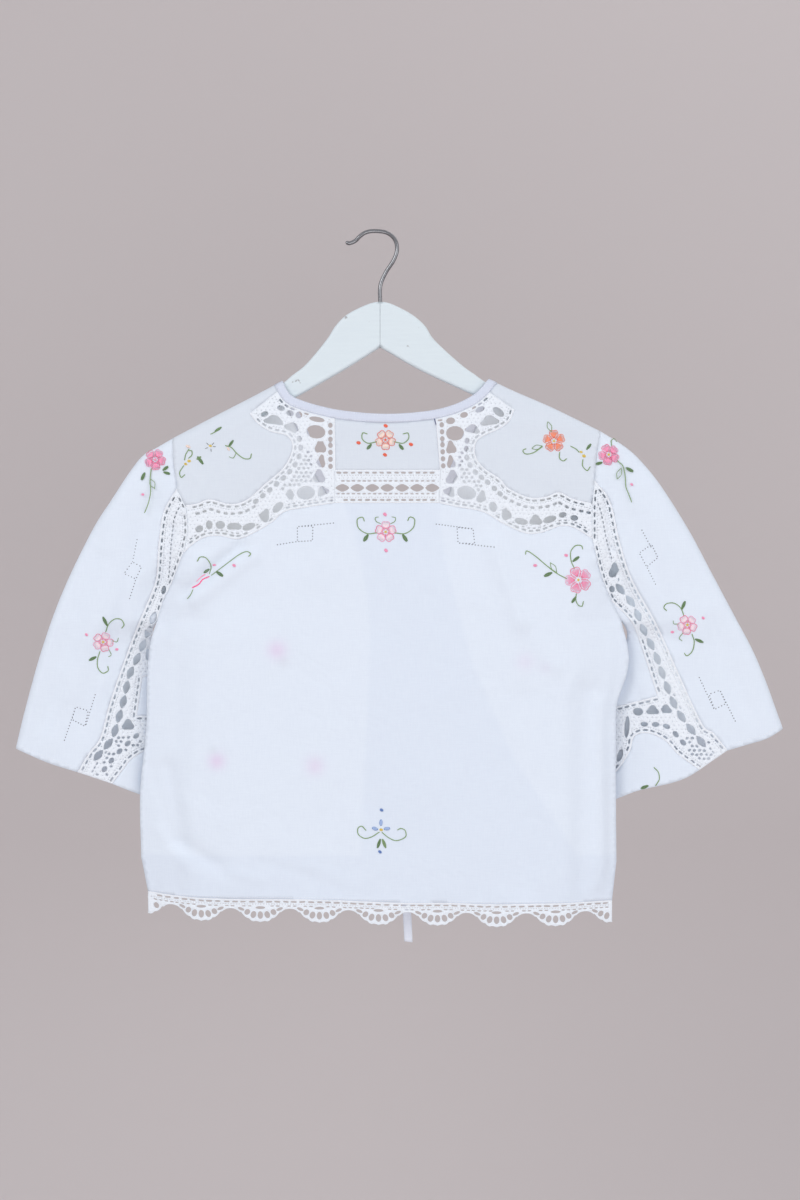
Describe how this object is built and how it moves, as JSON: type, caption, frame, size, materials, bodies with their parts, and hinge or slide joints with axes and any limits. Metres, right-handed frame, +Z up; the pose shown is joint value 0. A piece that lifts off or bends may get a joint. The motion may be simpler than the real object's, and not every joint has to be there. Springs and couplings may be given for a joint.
{
  "type": "cropped blouse on a hanger",
  "caption": "Short-sleeved cropped cotton blouse with crochet lace insertions, bound neck and front edges and tie tapes, hung on a wooden hanger with a wire hook.",
  "frame": {"origin": "the inside of the hook's crown, where the hook rests on its rail", "axes": "+X along the shoulders to the wearer's right, which is the right side seen from behind; +Y out of the garment's front; +Z up along the hook. The pictured back faces -Y"},
  "size_m": [0.7711, 0.0474, 0.719],
  "materials": {
    "cotton": "matt plain-woven white cotton",
    "lace": "matt white cotton crochet",
    "binding": "matt white cotton bias tape",
    "painted_wood": "white satin paint, lightly scuffed",
    "chrome": "polished wire"
  },
  "bodies": {
    "root": {"back_body": "cotton", "back_neck_patch": "cotton", "left_shoulder_cloth": "cotton", "right_shoulder_cloth": "cotton", "left_front": "cotton", "right_front": "cotton", "left_sleeve_cloth": "cotton", "right_sleeve_cloth": "cotton", "left_sleeve_underarm_cloth": "cotton", "right_sleeve_underarm_cloth": "cotton", "left_sleeve_cuff_cloth": "cotton", "right_sleeve_cuff_cloth": "cotton", "left_sleeve_front": "cotton", "right_sleeve_front": "cotton", "back_ladder_lace": "lace", "left_yoke_lace": "lace", "right_yoke_lace": "lace", "left_sleeve_lace": "lace", "right_sleeve_lace": "lace", "back_hem_lace": "lace", "left_front_hem_lace": "lace", "right_front_hem_lace": "lace", "back_neck_binding": "binding", "left_front_binding": "binding", "right_front_binding": "binding", "left_tie": "binding", "right_tie": "binding", "hanger_body": "painted_wood", "hanger_hook": "chrome"}
  },
  "joints": []
}
